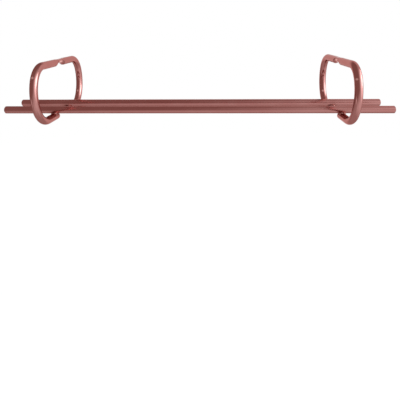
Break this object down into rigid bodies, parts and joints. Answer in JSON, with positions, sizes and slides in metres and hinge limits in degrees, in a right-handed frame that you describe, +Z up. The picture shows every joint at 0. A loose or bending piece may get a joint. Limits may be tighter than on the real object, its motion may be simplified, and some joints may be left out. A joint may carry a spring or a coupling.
{
  "type": "hanging wine glass rack",
  "caption": "Hanging rack of parallel wire rods welded into bent wire loops that are open below, so upturned wine glasses slide in and hang by the foot.",
  "frame": {"origin": "midway between the hanging seats of the loops, at the height where the ceiling hooks bear", "axes": "+X along the rods to the right, +Y from the front rod to the rear rod, +Z up, against the pull of the glasses"},
  "size_m": [0.316, 0.105, 0.0494],
  "materials": {
    "rose_gold_plating": "bright rose-gold electroplating on steel wire"
  },
  "bodies": {
    "root": {"front_rod": "rose_gold_plating", "rear_rod": "rose_gold_plating", "left_loop": "rose_gold_plating", "left_front_weld": "rose_gold_plating", "left_rear_weld": "rose_gold_plating", "right_loop": "rose_gold_plating", "right_front_weld": "rose_gold_plating", "right_rear_weld": "rose_gold_plating"}
  },
  "joints": []
}
